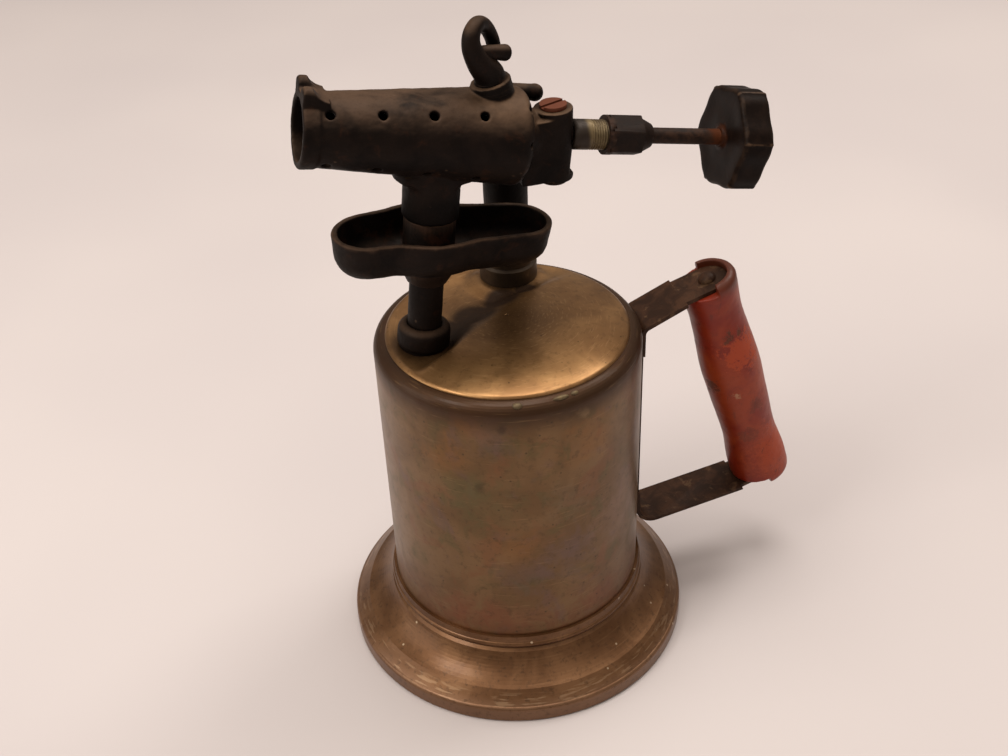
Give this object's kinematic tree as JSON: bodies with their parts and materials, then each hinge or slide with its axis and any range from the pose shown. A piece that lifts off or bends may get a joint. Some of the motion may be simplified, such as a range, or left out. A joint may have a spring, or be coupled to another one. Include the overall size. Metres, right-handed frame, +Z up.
{
  "type": "gasoline blowtorch",
  "caption": "Vintage gasoline blowtorch: brass tank on a flared base, cast burner tube with priming pan, needle valve, air pump, iron hook and red turned grip.",
  "frame": {"origin": "centre of the base's rim on the table", "axes": "+Z up along the tank's axis, +X towards the grip with the muzzle at -X, +Y away from the front seen in the picture"},
  "size_m": [0.1939, 0.1404, 0.2597],
  "materials": {
    "tank_brass": "aged, mottled",
    "top_brass": "aged, worn bright at the shoulder",
    "base_brass": "brown patina",
    "plain_brass": "dull",
    "black_iron": "oxidised, satin",
    "pan_iron": "rusty inside",
    "strap_steel": "brown patina",
    "bright_steel": "worn",
    "rusty_steel": "light rust",
    "grip_paint": "chipped red paint",
    "black_knob": "semi-gloss",
    "old_leather": "oiled",
    "packing_cord": "greased"
  },
  "bodies": {
    "torch": {"tank_shell": "tank_brass", "tank_top": "top_brass", "tank_bottom": "plain_brass", "base_skirt": "base_brass", "filler_bung": "plain_brass", "handle_strap": "strap_steel", "handle_grip": "grip_paint", "handle_bolt": "strap_steel", "handle_nut": "strap_steel", "riser_boss": "black_iron", "riser_pipe": "black_iron", "pickup_tube": "plain_brass", "pickup_strainer": "plain_brass", "priming_pan": "pan_iron", "burner_tube": "black_iron", "iron_hook": "black_iron", "burner_head": "black_iron", "jet_nipple": "plain_brass", "top_plug": "rusty_steel", "bottom_plug": "rusty_steel", "valve_barrel": "plain_brass", "valve_packing": "packing_cord", "packing_nut": "rusty_steel", "pump_flange": "plain_brass", "pump_barrel": "plain_brass", "pump_cap": "plain_brass", "check_body": "plain_brass"},
    "valve_needle_body": {"valve_needle": "bright_steel"},
    "valve_screw": {"valve_spindle": "rusty_steel", "valve_knob": "black_knob", "knob_nut": "bright_steel"},
    "filler_seal": {"filler_gasket": "old_leather"},
    "filler_screw": {"filler_plug": "plain_brass"},
    "pump_plunger": {"pump_rod": "bright_steel", "pump_knob": "black_iron", "pump_cup": "old_leather", "cup_nut": "bright_steel"},
    "check_valve": {"check_disc": "old_leather", "check_spring": "bright_steel"}
  },
  "joints": [
    {"name": "valve_travel", "type": "slide", "parent": "torch", "child": "valve_needle_body", "axis": [0.9833, 0, -0.1822], "range_m": [0, 0.003]},
    {"name": "knob_turn", "type": "hinge", "parent": "valve_needle_body", "child": "valve_screw", "pos_m": [0.08839, 0, 0.20355], "axis": [0.9833, 0, -0.1822], "range_deg": [0, 720]},
    {"name": "filler_travel", "type": "slide", "parent": "torch", "child": "filler_seal", "axis": [0, 0, -1], "range_m": [0, 0.0045]},
    {"name": "filler_turn", "type": "hinge", "parent": "filler_seal", "child": "filler_screw", "pos_m": [0, 0, 0.03], "axis": [0, 0, -1], "range_deg": [0, 1080]},
    {"name": "pump_stroke", "type": "slide", "parent": "torch", "child": "pump_plunger", "axis": [0, 0, 1], "range_m": [0, 0.065]},
    {"name": "check_lift", "type": "slide", "parent": "torch", "child": "check_valve", "axis": [0, 0, -1], "range_m": [0, 0.002], "stiffness_N_per_m": 20, "springref_m": -0.003, "deforming": ["check_spring"]}
  ],
  "couplings": [
    {"joint": "knob_turn", "follows": "valve_travel", "rad_per_m": 4188.8},
    {"joint": "filler_turn", "follows": "filler_travel", "rad_per_m": 4188.8}
  ]
}
